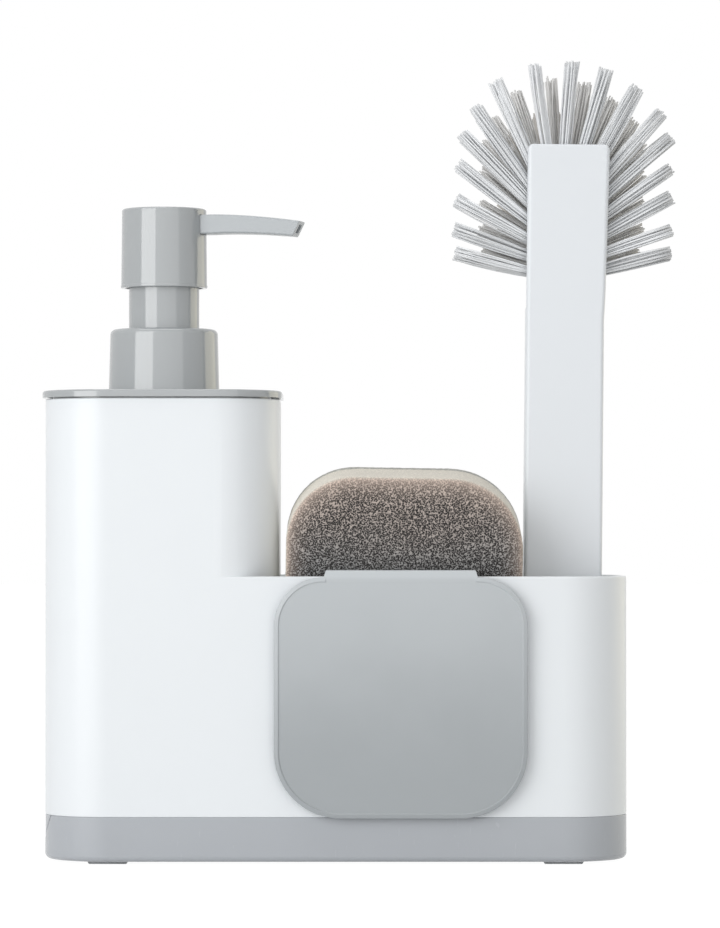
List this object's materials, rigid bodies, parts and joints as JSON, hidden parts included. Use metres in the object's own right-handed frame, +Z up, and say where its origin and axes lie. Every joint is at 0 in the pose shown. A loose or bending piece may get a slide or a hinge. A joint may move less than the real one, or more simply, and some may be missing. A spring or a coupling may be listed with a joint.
{
  "type": "soap pump caddy",
  "caption": "Sink caddy with a soap tank and press pump on the left, a trough with sponge and washing-up brush, and a hook-on front plate.",
  "frame": {"origin": "middle of the footprint's bounding box, on the surface that the feet stand on", "axes": "+Z up; X along the caddy with the pump at the left (-X) and the brush at the right (+X); -Y is the front with the plate"},
  "size_m": [0.2327, 0.083, 0.2961],
  "materials": {
    "shell_white": "smooth satin gloss",
    "tray_grey": "smooth satin gloss",
    "foot_pad": "matt",
    "pump_grey": "smooth gloss",
    "spout_grey": "smooth gloss",
    "plate_grey": "fine satin",
    "clear_plastic": "translucent",
    "piston_plastic": "smooth",
    "seal_rubber": "matt",
    "steel": "polished",
    "sponge_foam": "open-cell foam",
    "scourer": "coarse scouring layer",
    "handle_white": "smooth satin",
    "bristle": "fine filaments"
  },
  "bodies": {
    "tray": {"base_tray": "tray_grey", "feet": "foot_pad"},
    "shell": {"body_shell": "shell_white"},
    "lid": {"tank_lid": "pump_grey", "lid_seal": "seal_rubber"},
    "pump": {"pump_gasket": "seal_rubber", "pump_housing": "clear_plastic", "check_ball": "steel", "dip_tube": "clear_plastic", "guide_sleeve": "pump_grey", "return_spring": "steel"},
    "collar": {"pump_collar": "pump_grey"},
    "plunger": {"pump_piston": "piston_plastic"},
    "head": {"pump_head": "pump_grey", "spout": "spout_grey", "pump_stem": "clear_plastic", "stem_plug": "clear_plastic"},
    "plate": {"front_plate": "plate_grey"},
    "sponge": {"sponge_foam": "sponge_foam", "sponge_scourer": "scourer"},
    "brush": {"brush_handle": "handle_white", "bristles_front": "bristle", "bristles_middle": "bristle", "bristles_back": "bristle"}
  },
  "joints": [
    {"name": "shell_lift", "type": "slide", "parent": "tray", "child": "shell", "axis": [0, 0, 1], "range_m": [0, 0.03]},
    {"name": "lid_lift", "type": "slide", "parent": "shell", "child": "lid", "axis": [0, 0, 1], "range_m": [0, 0.02]},
    {"name": "pump_rise", "type": "slide", "parent": "lid", "child": "pump", "axis": [0, 0, 1], "range_m": [0, 0.0051]},
    {"name": "collar_turn", "type": "hinge", "parent": "pump", "child": "collar", "pos_m": [-0.07175, 0.00235, 0.1934], "axis": [0, 0, 1], "range_deg": [0, 450]},
    {"name": "pump_press", "type": "slide", "parent": "pump", "child": "plunger", "axis": [0, 0, -1], "range_m": [0, 0.0145], "stiffness_N_per_m": 800, "springref_m": -0.006, "deforming": ["return_spring"]},
    {"name": "head_swivel", "type": "hinge", "parent": "plunger", "child": "head", "pos_m": [-0.07175, 0.00235, 0.2109], "axis": [0, 0, 1], "continuous": true},
    {"name": "plate_lift", "type": "slide", "parent": "shell", "child": "plate", "axis": [0, 0, 1], "range_m": [0, 0.008]},
    {"name": "sponge_lift", "type": "slide", "parent": "shell", "child": "sponge", "axis": [0, 0, 1], "range_m": [0, 0.065]},
    {"name": "brush_lift", "type": "slide", "parent": "shell", "child": "brush", "axis": [0.0105, 0, 0.9999], "range_m": [0, 0.085]}
  ],
  "couplings": [
    {"joint": "pump_rise", "follows": "collar_turn", "m_per_rad": 0.00063662}
  ]
}
